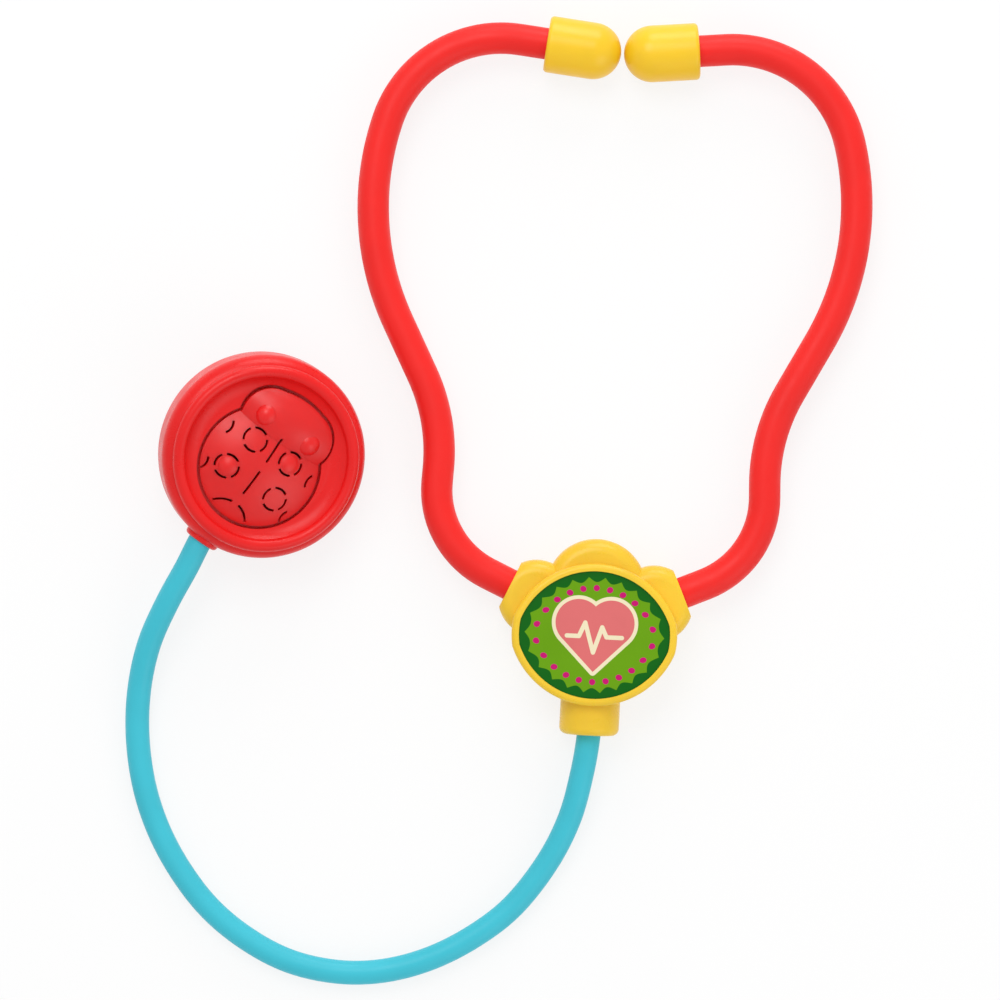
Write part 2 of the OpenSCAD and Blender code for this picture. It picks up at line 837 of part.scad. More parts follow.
// Lip that centres the front shell, notched round the screws and the hose
module joint_lip() {
  difference() {
    rotate_extrude() {
      translate([chest_in - slide_fit - lip_t, chest_split - lip_h])
        square([lip_t, 2 * lip_h]);
      translate([chest_in - slide_fit - lip_t, chest_split - lip_h])
        square([lip_t + chest_wall / 2, lip_h]);
    }
    translate([0, 0, chest_split]) {
      chest_screw_places()
        cylinder(d = boss_d + 2 * slide_fit, h = big);
      translate([-hose_boss_d / 2 - slide_fit, -big, 0])
        cube([hose_boss_d + 2 * slide_fit, big, big]);
    }
  }
}

module chest_back() {
  color(red)
    in_chest()
      difference() {
        union() {
          difference() {
            bowl(0, chest_split);
            bowl(chest_wall, chest_split + 1);
          }
          joint_lip();
          intersection() {
            hose_boss();
            translate([-big / 2, -big / 2, -big])
              cube([big, big, big + chest_split]);
          }
          intersection() {
            union() {
              chest_screw_places()
                cylinder(d = boss_d, h = frame_low);
              translate([0, bay_y, 0])
                linear_extrude(roof_low + roof_t)
                  square([bay_w + 2 * bay_wall, bay_h + 2 * bay_wall], center = true);
              translate([0, door_screw_y, 0])
                cylinder(r = door_cup_r + slide_fit + bay_wall, h = roof_low + roof_t);
              for (s = [-1, 1])
                translate([s * board_post.x, board_post.y, 0])
                  cylinder(d = 4, h = board_low);
            }
            bowl(chest_wall / 2, big);
          }
          for (s = [-1, 1])
            translate([s * board_post.x, board_post.y, chest_wall])
              cylinder(d = 2, h = board_top + 0.6 - chest_wall);
        }
        hose_boss_bore();
        translate([0, bay_y, -1])
          linear_extrude(roof_low + 1)
            square([bay_w, bay_h], center = true);
        translate([0, 0, -1])
          linear_extrude(door_t + 1)
            door_outline(slide_fit);
        translate([0, door_screw_y, 0]) {
          cylinder(d = screw_d + 2 * fit, h = roof_low);
          cylinder(r = door_cup_r + slide_fit, h = door_cup + slide_fit);
        }
        chest_screw_places()
          translate([0, 0, -1]) {
            cylinder(d = screw_d + 2 * slide_fit, h = frame_top + 2);
            cylinder(d = screw_head_d + 2 * slide_fit, h = screw_sink + 1.5);
          }
      }
}

// Section of the front shell: side, shoulder, bead and dished face
module front_section() {
  shoulder_x = chest_d / 2 - shoulder_r;
  difference() {
    union() {
      translate([0, chest_split])
        square([chest_d / 2, side_top - chest_split]);
      translate([shoulder_x, side_top])
        intersection() {
          circle(shoulder_r);
          square(shoulder_r);
        }
      difference() {
        polygon([[0, chest_split], [shoulder_x, chest_split],
          [shoulder_x, side_top + shoulder_r], [bead_ring_r, side_top + shoulder_r],
          [bead_ring_r, bead_z + bead_r / 2], [0, bead_z + bead_r / 2]]);
        translate([-1, face_z])
          square([dish_from + 1, big]);
        translate([dish_from, face_z + dish_r - 0.05])
          circle(dish_r);
      }
      translate([bead_ring_r, bead_z])
        circle(bead_r);
    }
    translate([0, chest_split - 1])
      square([chest_in, face_under - chest_split + 1]);
  }
}

module chest_front() {
  color(red)
    in_chest()
      difference() {
        union() {
          rotate_extrude()
            front_section();
          difference() {
            intersection() {
              hose_boss();
              translate([-big / 2, -big / 2, chest_split])
                cube(big);
            }
            translate([0, 0, face_under])
              cylinder(r = chest_in, h = big);
          }
          intersection() {
            chest_screw_places()
              translate([0, 0, frame_top])
                cylinder(d = boss_d, h = face_under - frame_top + face_t / 2);
            cylinder(r = chest_in + chest_wall / 2, h = big);
          }
        }
        translate([0, 0, face_under - 1])
          linear_extrude(big)
            bug_outline(bug_gap);
        hose_boss_bore();
        chest_screw_places()
          translate([0, 0, frame_top - 1])
            cylinder(d = screw_d + 2 * fit, h = face_under - frame_top + 1);
      }
}

module chest_screws() {
  color(steel)
    in_chest()
      chest_screw_places()
        screw(screw_sink + 0.5 - screw_head_h, face_under - 0.5);
}

// Outline of the ladybird, larger by d
module bug_outline(d) {
  translate([0, bug_body_y])
    circle(bug_body_r + d);
  bug_head_outline(d);
}

module bug_head_outline(d) {
  for (s = [-1, 1])
    translate([s * bug_head_x, bug_head_y])
      circle(bug_head_r + d);
  intersection() {
    translate([0, brow_y])
      circle(bug_brow_r + d);
    polygon([[0, brow_y], [2 * brow_end.x, brow_y + 2 * brow_end.y],
      [-2 * brow_end.x, brow_y + 2 * brow_end.y]]);
  }
}

// Slot along an arc of radius r from angle a to angle b
module arc_slot(r, a, b) {
  intersection() {
    difference() {
      circle(r + slot_w / 2);
      circle(r - slot_w / 2);
    }
    polygon([[0, 0], 3 * r * [cos(a), sin(a)],
      3 * r * [cos((a + b) / 2), sin((a + b) / 2)], 3 * r * [cos(b), sin(b)]]);
  }
}

module sound_slots() {
  for (p = spots)
    translate(p)
      for (a = [0 : 90 : 270])
        arc_slot(spot_r, a - spot_arc / 2, a + spot_arc / 2);
  for (p = edge_spots)
    translate(p)
      rotate(p.x > 0 ? 180 : 0)
        arc_slot(spot_r, -36, 36);
  translate([0, bug_body_y - bug_body_r - 2.2])
    for (a = [35, 99])
      arc_slot(2 * spot_r + 0.2, a, a + 46);
  for (y = [-12.4, -0.8])
    translate([-slot_w / 2, y])
      square([slot_w, 8.3]);
}

// Height of the body's crown at a place on the button
function crown(x, y) =
  let (v = y - bug_body_y)
  cap_top - cap_r + sqrt(cap_r * cap_r - x * x - v * v);

// Height of the head at a place on the button, d under its surface
function head_z(x, y, d) =
  let (r = sqrt(pow(head_bow_r - d, 2) - x * x) - head_bow_r + head_r, v = y - head_ridge_y)
  head_top - head_r + sqrt(r * r - v * v);

// Ball of radius r about a place
module dome_at(p, r) {
  translate(p)
    rotate([90, 0, 0])
      sphere(r);
}

// Middle of a dome that stands square on the body's crown
function spot_mid(p) =
  let (mid = [0, bug_body_y, cap_top - cap_r], foot = [p.x, p.y, crown(p.x, p.y)])
  mid + (foot - mid) * (cap_r + spot_rise - spot_dome_r) / cap_r;

// Ball of the body's crown and spindle of the head, d under their surfaces
module ladybird_form(d) {
  translate([0, bug_body_y, cap_top - cap_r])
    rotate([90, 0, 0])
      sphere(cap_r - d, $fn = 128);
  translate([0, head_ridge_y, head_top - head_r])
    rotate([0, 90, 0])
      rotate_extrude($fn = 128)
        intersection() {
          translate([head_r - head_bow_r, 0])
            circle(head_bow_r - d, $fn = 128);
          translate([0, -head_bow_r])
            square([2 * head_r, 2 * head_bow_r]);
        }
}

module button_top() {
  intersection() {
    translate([0, 0, flange_low])
      linear_extrude(big)
        bug_outline(0);
    ladybird_form(0);
  }
  intersection() {
    union() {
      for (s = [-1, 1])
        dome_at([s * eye_at.x, eye_at.y, head_z(eye_at.x, eye_at.y, 0) + eye_rise - eye_r], eye_r);
      for (p = [spots[1], spots[2]])
        dome_at(spot_mid(p), spot_dome_r);
    }
    translate([-big / 2, -big / 2, face_under])
      cube(big);
  }
}

module button() {
  color(red)
    in_chest() {
      difference() {
        union() {
          button_top();
          translate([0, 0, flange_low])
            linear_extrude(bug_flange_t)
              bug_outline(bug_gap + bug_flange_hold);
        }
        intersection() {
          translate([0, 0, flange_low - 1])
            linear_extrude(big)
              bug_outline(-bug_wall);
          ladybird_form(cap_t);
        }
        translate([0, 0, face_under + 0.3])
          linear_extrude(big)
            sound_slots();
      }
      for (s = [-1, 1])
        translate([s * spring_at.x, spring_at.y, frame_low + 0.5])
          cylinder(d = post_d, h = head_z(spring_at.x, spring_at.y, cap_t / 2) - frame_low - 0.5);
      translate([0, switch_y, board_top + dome_h + slide_fit])
        cylinder(d = 3.6, h = head_z(0, switch_y, cap_t / 2) - board_top - dome_h - slide_fit);
    }
}

// Springs, loudspeaker and board under the button

spring_low = frame_top + wire_d / 2 + fit;
coil_out = (coil_d + wire_d) / 2;
spring_top = min([for (a = [0:15:345]) head_z(spring_at.x + coil_out * cos(a),
  spring_at.y + coil_out * sin(a), cap_t)]) - wire_d / 2 - fit;
coil_path = [for (k = [0 : 8 * coil_turns])
  [coil_d / 2 * cos(45 * k), coil_d / 2 * sin(45 * k),
    spring_low + (spring_top - spring_low) * k / (8 * coil_turns)]];

module button_springs() {
  color(steel)
    in_chest()
      for (s = [-1, 1])
        translate([s * spring_at.x, spring_at.y, 0])
          swept(coil_path, wire_d / 2, 0, 6, [0, 0, 1]);
}

module switch_dome() {
  color([0.3, 0.3, 0.32])
    in_chest()
      translate([0, switch_y, board_top])
        rotate_extrude()
          polygon([[2.6, 0], [3.4, 0], [3.4, 0.6], [2.4, dome_h - 0.8], [1.8, dome_h],
            [0, dome_h], [0, dome_h - 1], [1.4, dome_h - 1], [2.6, 0.6]]);
}

module speaker_frame() {
  color([0.2, 0.2, 0.22])
    in_chest()
      difference() {
        union() {
          translate([0, 0, frame_low])
            cylinder(r = frame_r, h = frame_t);
          chest_screw_places()
            translate([0, 0, frame_low]) {
              cylinder(d = boss_d, h = frame_t);
              translate([-8, -boss_d / 2, 0])
                cube([8, boss_d, frame_t]);
            }
          translate([0, bug_body_y, frame_low])
            cylinder(r = lip_r + 1.2, h = frame_t + 1.4);
        }
        translate([0, bug_body_y, frame_top])
          cylinder(r = lip_r, h = big);
        translate([0, bug_body_y, frame_low - 1])
          cylinder(d = magnet_d + 2 * slide_fit, h = frame_t + 2);
        chest_screw_places()
          translate([0, 0, frame_low - 1])
            cylinder(d = screw_d + 2 * slide_fit, h = frame_t + 2);
        for (s = [-1, 1])
          translate([s * spring_at.x, spring_at.y, frame_low - 1])
            cylinder(d = post_d + 2 * slide_fit, h = frame_t + 2);
        translate([0, switch_y, frame_low - 1])
          cylinder(r = 3.4 + slide_fit, h = frame_t + 2);
        translate([-hose_boss_d / 2 - slide_fit, boss_end + slide_fit - big, frame_low - 1])
          cube([hose_boss_d + 2 * slide_fit, big, frame_t + 2]);
      }
}

module speaker() {
  color([0.25, 0.25, 0.27])
    in_chest()
      translate([0, bug_body_y, frame_top])
        rotate_extrude()
          polygon([[0, -magnet_h], [magnet_d / 2, -magnet_h], [magnet_d / 2, 0],
            [speaker_d / 2, 0], [speaker_d / 2, speaker_h], [speaker_d / 2 - 2, speaker_h],
            [speaker_d / 4, speaker_h / 3], [0, speaker_h / 2]]);
}

module circuit_board() {
  color([0.1, 0.4, 0.2])
    in_chest()
      translate([0, 0, board_low]) {
        linear_extrude(board_t)
          difference() {
            translate([-board_w / 2, board_y0])
              square([board_w, board_y1 - board_y0]);
            for (s = [-1, 1])
              translate([s * board_post.x, board_post.y])
                circle(d = 2 + 2 * slide_fit);
          }
        translate([10, 4, board_t])
          cylinder(d = 7, h = 0.9);
      }
}

module cells() {
  color(steel)
    in_chest()
      for (i = [-1 : 1])
        translate([i * cell_pitch, bay_y, cell_low])
          cylinder(d = cell_d, h = cell_t);
}

module cell_contacts() {
  color([0.85, 0.75, 0.5])
    in_chest()
      for (s = [-1, 1])
        translate([s * cell_pitch / 2, bay_y, s > 0 ? door_t : roof_low - strip_t])
          translate([-cell_pitch / 2 - 3, -2.5, 0])
            cube([cell_pitch + 6, 5, strip_t]);
}

module battery_door() {
  color(red)
    in_chest()
      difference() {
        union() {
          linear_extrude(door_t)
            door_outline(0);
          translate([0, door_screw_y, 0])
            cylinder(r = door_cup_r, h = door_cup);
        }
        translate([0, door_screw_y, -1]) {
          cylinder(d = screw_d + 2 * slide_fit, h = door_cup + 2);
          cylinder(d = screw_head_d + 2 * slide_fit, h = screw_head_h + 1.4);
        }
      }
}

module door_screw() {
  color(steel)
    in_chest()
      translate([0, door_screw_y, 0])
        screw(0.4, roof_low - 1);
}

left_ear_tip();
right_ear_tip();
left_arm_tube();
right_arm_tube();
left_tube_flex();
right_tube_flex();
left_tube_plug();
right_tube_plug();
yoke_back();
yoke_front();
yoke_screws();
badge_frame();
badge_insert();
hose_collar();
hub_hose_plug();
hose();
chest_hose_plug();
chest_back();
chest_front();
chest_screws();
button();
button_springs();
switch_dome();
speaker_frame();
speaker();
circuit_board();
cells();
cell_contacts();
battery_door();
door_screw();
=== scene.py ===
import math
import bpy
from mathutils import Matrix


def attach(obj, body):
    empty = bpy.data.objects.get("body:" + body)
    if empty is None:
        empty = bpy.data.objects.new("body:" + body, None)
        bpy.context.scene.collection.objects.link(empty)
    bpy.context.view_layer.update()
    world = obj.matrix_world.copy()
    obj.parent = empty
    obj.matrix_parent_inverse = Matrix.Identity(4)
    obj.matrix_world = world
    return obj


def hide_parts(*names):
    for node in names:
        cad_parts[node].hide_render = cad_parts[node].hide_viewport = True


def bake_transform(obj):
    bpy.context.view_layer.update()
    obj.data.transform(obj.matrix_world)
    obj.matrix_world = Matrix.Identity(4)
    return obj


bl_info = {
    "name": "Toy Stethoscope",
    "version": (1, 0, 0),
    "blender": (4, 5, 0),
    "location": "View3D > Sidebar > Stethoscope",
    "description": "Dresses a toy stethoscope: headset, hub, hose and chest piece",
    "category": "Object",
}

import bpy
from mathutils import Matrix, Vector

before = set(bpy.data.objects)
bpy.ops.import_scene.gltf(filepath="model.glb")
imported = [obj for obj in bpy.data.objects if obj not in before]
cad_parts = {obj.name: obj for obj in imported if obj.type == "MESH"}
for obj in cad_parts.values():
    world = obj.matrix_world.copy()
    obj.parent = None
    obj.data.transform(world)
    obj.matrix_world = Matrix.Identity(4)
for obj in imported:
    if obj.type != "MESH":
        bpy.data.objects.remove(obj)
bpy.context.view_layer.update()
MM = 0.001


def srgb(r, g, b):
    """Linear colour of 8-bit screen values."""
    def lin(v):
        v /= 255
        return v / 12.92 if v <= 0.04045 else ((v + 0.055) / 1.055) ** 2.4
    return (lin(r), lin(g), lin(b))


def length_prop(name, description, mm):
    """A length setting, with its default in millimetres."""
    return bpy.props.FloatProperty(
        name=name, description=description, default=mm * MM, min=0.0001,
        unit="LENGTH", precision=5)


def colour_prop(name, description, rgb):
    """A colour setting, with its default in 8-bit screen values."""
    return bpy.props.FloatVectorProperty(
        name=name, description=description, default=srgb(*rgb), size=3,
        min=0.0, max=1.0, subtype="COLOR")


class StethoscopeSizes(bpy.types.PropertyGroup):
    tube_d: length_prop("Tube", "Outer diameter of the headset tubes", 9.5)
    hose_d: length_prop("Hose", "Outer diameter of the hose", 7.2)
    axis_z: length_prop("Axis height", "Height of the tubes' axis above the table", 8.5)
    view_w: length_prop("View width", "Width of the table that the camera sees", 300)
    camera_z: length_prop("Camera height", "Height of the camera above the table", 1500)


class StethoscopeColours(bpy.types.PropertyGroup):
    tube: colour_prop("Tubes", "Soft red of the headset tubes", (243, 40, 36))
    ear: colour_prop("Ear tips", "Yellow of the ear tips", (248, 202, 35))
    hub: colour_prop("Hub", "Yellow of the hub, medallion frame and collar", (246, 203, 50))
    hose: colour_prop("Hose", "Blue of the hose", (66, 196, 215))
    chest: colour_prop("Chest piece", "Red of the chest piece's shells and button", (234, 28, 28))
    field: colour_prop("Print field", "Light green of the medallion's print", (104, 160, 0))
    border: colour_prop("Print border", "Dark green of the medallion's print", (0, 98, 8))
    heart: colour_prop("Print heart", "Salmon of the medallion's print", (222, 112, 112))
    dots: colour_prop("Print dots", "Magenta of the medallion's print", (200, 10, 112))
    line: colour_prop("Print line", "Cream of the medallion's print", (240, 228, 192))
    floor: colour_prop("Table", "Pale table top", (250, 250, 250))


def sizes():
    return bpy.context.scene.stethoscope_sizes


def colours():
    return bpy.context.scene.stethoscope_colours


# Shader building

class Net:
    """Builds nodes in one tree. Plain numbers and sockets both go in as inputs."""

    def __init__(self, tree):
        self.tree = tree

    def node(self, kind, **settings):
        n = self.tree.nodes.new(kind)
        for key, value in settings.items():
            setattr(n, key, value)
        return n

    def feed(self, socket, value):
        if isinstance(value, bpy.types.NodeSocket):
            self.tree.links.new(value, socket)
        else:
            socket.default_value = value

    def math(self, op, a, b=0.0, c=0.0, clamp=False):
        n = self.node("ShaderNodeMath", operation=op, use_clamp=clamp)
        for socket, value in zip(n.inputs, (a, b, c)):
            self.feed(socket, value)
        return n.outputs[0]

    def mix(self, factor, a, b):
        """Colour a where factor is 0 and b where it is 1."""
        n = self.node("ShaderNodeMix", data_type="RGBA")
        # The node's colour sockets come after those for numbers and vectors
        for place, value in ((0, factor), (6, a), (7, b)):
            self.feed(n.inputs[place], value)
        return n.outputs[2]

    def noise(self, coords, scale, detail=2.0, rough=0.5):
        n = self.node("ShaderNodeTexNoise")
        self.feed(n.inputs["Vector"], coords)
        self.feed(n.inputs["Scale"], scale)
        n.inputs["Detail"].default_value = detail
        n.inputs["Roughness"].default_value = rough
        return n.outputs["Fac"]

    def spread(self, value, low, high, to_low=0.0, to_high=1.0):
        """Value from low to high, smoothly spread from to_low to to_high."""
        n = self.node("ShaderNodeMapRange", interpolation_type="SMOOTHSTEP")
        for socket, v in zip(n.inputs, (value, low, high, to_low, to_high)):
            self.feed(socket, v)
        return n.outputs[0]

    def coords(self, scale=1.0):
        n = self.node("ShaderNodeTexCoord")
        m = self.node("ShaderNodeMapping")
        self.feed(m.inputs["Vector"], n.outputs["Object"])
        self.feed(m.inputs["Scale"], (scale, scale, scale))
        return m.outputs["Vector"]

    def split(self, vector):
        n = self.node("ShaderNodeSeparateXYZ")
        self.feed(n.inputs[0], vector)
        return n.outputs[:3]

    def inside(self, distance, edge=0.05):
        """1 where distance is above 0, softened over edge."""
        return self.spread(distance, -edge, edge)


def group_tree(name, ins, outs):
    """A new shader group with these sockets, and its input and output nodes."""
    tree = bpy.data.node_groups.new(name, "ShaderNodeTree")
    for label, kind, default in ins:
        s = tree.interface.new_socket(name=label, in_out="INPUT", socket_type=kind)
        s.default_value = default
    for label, kind in outs:
        tree.interface.new_socket(name=label, in_out="OUTPUT", socket_type=kind)
    return tree, tree.nodes.new("NodeGroupInput"), tree.nodes.new("NodeGroupOutput")


def moulded_finish():
    """Shared finish of moulded plastic: cloudy shade, fine grain and uneven gloss."""
    old = bpy.data.node_groups.get("Moulded finish")
    if old:
        return old
    tree, gin, gout = group_tree("Moulded finish", [
        ("Colour", "NodeSocketColor", (0.8, 0.8, 0.8, 1)),
        ("Shade", "NodeSocketColor", (0.6, 0.6, 0.6, 1)),
        ("Cloud size", "NodeSocketFloat", 70.0),
        ("Grain size", "NodeSocketFloat", 1800.0),
        ("Grain depth", "NodeSocketFloat", 0.00002),
        ("Rough low", "NodeSocketFloat", 0.3),
        ("Rough high", "NodeSocketFloat", 0.4),
    ], [("Colour", "NodeSocketColor"), ("Roughness", "NodeSocketFloat"),
        ("Normal", "NodeSocketVector")])
    net = Net(tree)
    coords = net.coords()
    cloud = net.noise(coords, gin.outputs["Cloud size"], detail=3.0)
    grain = net.noise(coords, gin.outputs["Grain size"], rough=0.6)
    # The gloss varies in finer patches than the colour
    patch_size = net.math("MULTIPLY", gin.outputs["Cloud size"], 3.7)
    smear = net.noise(coords, patch_size, detail=4.0)
    colour = net.mix(net.spread(cloud, 0.35, 0.75), gin.outputs["Colour"], gin.outputs["Shade"])
    rough = net.spread(smear, 0.3, 0.7, gin.outputs["Rough low"], gin.outputs["Rough high"])
    bump = net.node("ShaderNodeBump")
    bump.inputs["Strength"].default_value = 1.0
    net.feed(bump.inputs["Distance"], gin.outputs["Grain depth"])
    net.feed(bump.inputs["Height"], grain)
    net.feed(gout.inputs["Colour"], colour)
    net.feed(gout.inputs["Roughness"], rough)
    net.feed(gout.inputs["Normal"], bump.outputs[0])
    return tree


def new_material(name):
    """A material with its net and shader, or the one there is and nothing to build."""
    old = bpy.data.materials.get(name)
    if old:
        return old, None, None
    mat = bpy.data.materials.new(name)
    mat.use_nodes = True
    net = Net(mat.node_tree)
    shader = next(n for n in mat.node_tree.nodes if n.type == "BSDF_PRINCIPLED")
    return mat, net, shader


def with_alpha(colour, gain=1.0):
    """An opaque colour for a socket, times a gain."""
    return tuple(min(1.0, c * gain) for c in colour[:3]) + (1.0,)


def add_finish(net, shader, values):
    """Feeds a shader from the shared finish, which takes these values or sockets."""
    g = net.node("ShaderNodeGroup", node_tree=moulded_finish())
    for key, value in values.items():
        net.feed(g.inputs[key], value)
    for key, into in (("Colour", "Base Color"), ("Roughness", "Roughness"), ("Normal", "Normal")):
        net.feed(shader.inputs[into], g.outputs[key])


def moulded(name, colour, *, shade, cloud, grain, depth, rough, metallic=0.0, specular=0.25,
            subsurface=0.0, bleed=0.002):
    """A moulded plastic, rubber or metal, with the shared finish."""
    mat, net, shader = new_material(name)
    if net is None:
        return mat
    add_finish(net, shader, {
        "Colour": with_alpha(colour), "Shade": with_alpha(colour, shade), "Cloud size": cloud,
        "Grain size": grain, "Grain depth": depth, "Rough low": rough[0], "Rough high": rough[1]})
    shader.inputs["Metallic"].default_value = metallic
    shader.inputs["Specular IOR Level"].default_value = specular
    if subsurface:
        shader.inputs["Subsurface Weight"].default_value = subsurface
        shader.inputs["Subsurface Radius"].default_value = tuple(
            0.2 + 0.8 * v for v in colour[:3])
        shader.inputs["Subsurface Scale"].default_value = bleed
    return mat


def segment_distance():
    """Shared measure: distance in a plane from a point to a line from A to B."""
    old = bpy.data.node_groups.get("Line distance")
    if old:
        return old
    tree, gin, gout = group_tree("Line distance", [
        (k, "NodeSocketFloat", 0.0) for k in ("X", "Y", "Ax", "Ay", "Bx", "By")
    ], [("Distance", "NodeSocketFloat")])
    net = Net(tree)
    i = gin.outputs
    px, py = net.math("SUBTRACT", i["X"], i["Ax"]), net.math("SUBTRACT", i["Y"], i["Ay"])
    dx, dy = net.math("SUBTRACT", i["Bx"], i["Ax"]), net.math("SUBTRACT", i["By"], i["Ay"])
    dot = net.math("ADD", net.math("MULTIPLY", px, dx), net.math("MULTIPLY", py, dy))
    run = net.math("ADD", net.math("MULTIPLY", dx, dx), net.math("MULTIPLY", dy, dy))
    t = net.math("DIVIDE", dot, run, clamp=True)
    ex = net.math("SUBTRACT", px, net.math("MULTIPLY", t, dx))
    ey = net.math("SUBTRACT", py, net.math("MULTIPLY", t, dy))
    d = net.math("SQRT", net.math("ADD", net.math("MULTIPLY", ex, ex),
                                  net.math("MULTIPLY", ey, ey)))
    net.feed(gout.inputs[0], d)
    return tree


def from_point(net, x, y, cx=0.0, cy=0.0):
    """Distance in a plane from a point."""
    dx, dy = net.math("SUBTRACT", x, cx), net.math("SUBTRACT", y, cy)
    return net.math("SQRT", net.math("ADD", net.math("MULTIPLY", dx, dx),
                                     net.math("MULTIPLY", dy, dy)))


def heart_distance(net, x, y, tip_y, size):
    """Distance from a heart's edge, below 0 inside. Its point is at (0, tip_y)."""
    u = net.math("DIVIDE", net.math("ABSOLUTE", x), size)
    v = net.math("DIVIDE", net.math("SUBTRACT", y, tip_y), size)
    both = net.math("ADD", u, v)
    foot = net.math("MULTIPLY", net.math("MAXIMUM", both, 0.0), 0.5)
    near = net.math("MINIMUM", from_point(net, u, v, 0.0, 1.0), from_point(net, u, v, foot, foot))
    side = net.math("MULTIPLY", near, net.math("SIGN", net.math("SUBTRACT", u, v)))
    lobe = net.math("SUBTRACT", from_point(net, u, v, 0.25, 0.75), math.sqrt(0.125))
    on_lobe = net.math("GREATER_THAN", both, 1.0)
    d = net.math("ADD", side, net.math("MULTIPLY", on_lobe, net.math("SUBTRACT", lobe, side)))
    return net.math("MULTIPLY", d, size)


# Sizes of the medallion's print, in millimetres. The plate is where a round about its middle and
# two larger ones about points above and below it overlap
PLATE_END_R = 22.5
PLATE_ARC_R = 23.8
PLATE_ARC_Y = 4.8
SCALLOPS = 22
SCALLOP_H = 1.5
BORDER_W = 1.7
DOT_R = 0.95
DOT_INSET = 5.0
HEART_TIP_Y = -11.0
HEART_SIZE = 19.5
HEART_EDGE = 1.1
PULSE_R = 0.65
PULSE = [(-8.2, -0.5), (-4.6, -0.5), (-2.9, 3.6), (-0.2, -5.2), (2.2, 2.4), (3.6, -0.5),
         (8.2, -0.5)]


def medallion_print():
    """Print of the medallion's plate: a heart with a pulse line in a scalloped oval."""
    mat, net, shader = new_material("Medallion print")
    if net is None:
        return mat
    c = colours()
    x, y, _ = net.split(net.coords(1 / MM))
    edge = net.math("SUBTRACT", PLATE_END_R, from_point(net, x, y))
    for cy in (PLATE_ARC_Y, -PLATE_ARC_Y):
        edge = net.math("MINIMUM", edge,
                        net.math("SUBTRACT", PLATE_ARC_R, from_point(net, x, y, 0.0, cy)))
    turn = net.math("ARCTAN2", y, x)
    wave = net.math("ABSOLUTE", net.math("SINE", net.math("MULTIPLY", turn, SCALLOPS / 2)))
    width = net.math("ADD", BORDER_W, net.math("MULTIPLY", wave, SCALLOP_H))
    band = net.math("SUBTRACT", width, edge)
    pitch = math.tau / SCALLOPS
    slice_turn = net.math("SUBTRACT", net.math("WRAP", turn, pitch, 0.0), pitch / 2)
    along = net.math("MULTIPLY", slice_turn, from_point(net, x, y))
    dot = net.math("SUBTRACT", DOT_R, from_point(net, along, edge, 0.0, DOT_INSET))
    heart = heart_distance(net, x, y, HEART_TIP_Y, HEART_SIZE)
    pulse = None
    for a, b in zip(PULSE, PULSE[1:]):
        g = net.node("ShaderNodeGroup", node_tree=segment_distance())
        for key, value in zip(("X", "Y", "Ax", "Ay", "Bx", "By"), (x, y) + a + b):
            net.feed(g.inputs[key], value)
        d = g.outputs[0]
        pulse = d if pulse is None else net.math("MINIMUM", pulse, d)
    stroke = net.math("SUBTRACT", PULSE_R, pulse)
    colour = net.mix(net.inside(band), with_alpha(c.field), with_alpha(c.border))
    colour = net.mix(net.inside(dot), colour, with_alpha(c.dots))
    outline = net.math("SUBTRACT", HEART_EDGE, heart)
    colour = net.mix(net.inside(outline), colour, with_alpha(c.line))
    colour = net.mix(net.inside(net.math("MULTIPLY", heart, -1.0)), colour, with_alpha(c.heart))
    colour = net.mix(net.inside(stroke), colour, with_alpha(c.line))
    add_finish(net, shader, {
        "Colour": colour, "Shade": net.mix(0.06, colour, (0.0, 0.0, 0.0, 1.0)),
        "Grain size": 2600.0, "Grain depth": 0.000006, "Rough low": 0.28, "Rough high": 0.36})
    shader.inputs["Specular IOR Level"].default_value = 0.2
    return mat


def dress(node, mat):
    """Gives a CAD node its material."""
    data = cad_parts[node].data
    data.materials.clear()
    data.materials.append(mat)


# Paths

def deselect():
    """Leaves edit mode, with nothing selected."""
    if bpy.context.object and bpy.context.object.mode != "OBJECT":
        bpy.ops.object.mode_set(mode="OBJECT")
    bpy.ops.object.select_all(action="DESELECT")


def walk(legs, start, pace):
    """Points in the plane along runs (length, 0) and bends (radius, degrees), and their end."""
    x, y, h = start[0], start[1], math.radians(start[2])
    points = [(x, y)]
    for size, turn in legs:
        if turn == 0:
            n = max(1, round(size / pace))
            for _ in range(n):
                x, y = x + size / n * math.cos(h), y + size / n * math.sin(h)
                points.append((x, y))
            continue
        side = 1 if turn > 0 else -1
        cx, cy = x - side * size * math.sin(h), y + side * size * math.cos(h)
        n = max(2, round(size * math.radians(abs(turn)) / pace))
        for k in range(1, n + 1):
            a = h + math.radians(turn) * k / n
            x, y = cx + side * size * math.sin(a), cy - side * size * math.cos(a)
            points.append((x, y))
        h += math.radians(turn)
    return points, (x, y, math.degrees(h))


def smooth_route(route, pieces=6):
    """A smooth line through the points of a route, in so many pieces from point to point."""
    pts = [Vector(p) for p in route]
    ends = [pts[0] * 2 - pts[1]] + pts + [pts[-1] * 2 - pts[-2]]
    line = []
    for i in range(1, len(ends) - 2):
        p0, p1, p2, p3 = ends[i - 1:i + 3]
        for k in range(pieces):
            t = k / pieces
            m1 = (p2 - p0) * 0.5
            m2 = (p3 - p1) * 0.5
            t2, t3 = t * t, t * t * t
            line.append(p1 * (2 * t3 - 3 * t2 + 1) + m1 * (t3 - 2 * t2 + t)
                        + p2 * (3 * t2 - 2 * t3) + m2 * (t3 - t2))
    line.append(pts[-1])
    return line


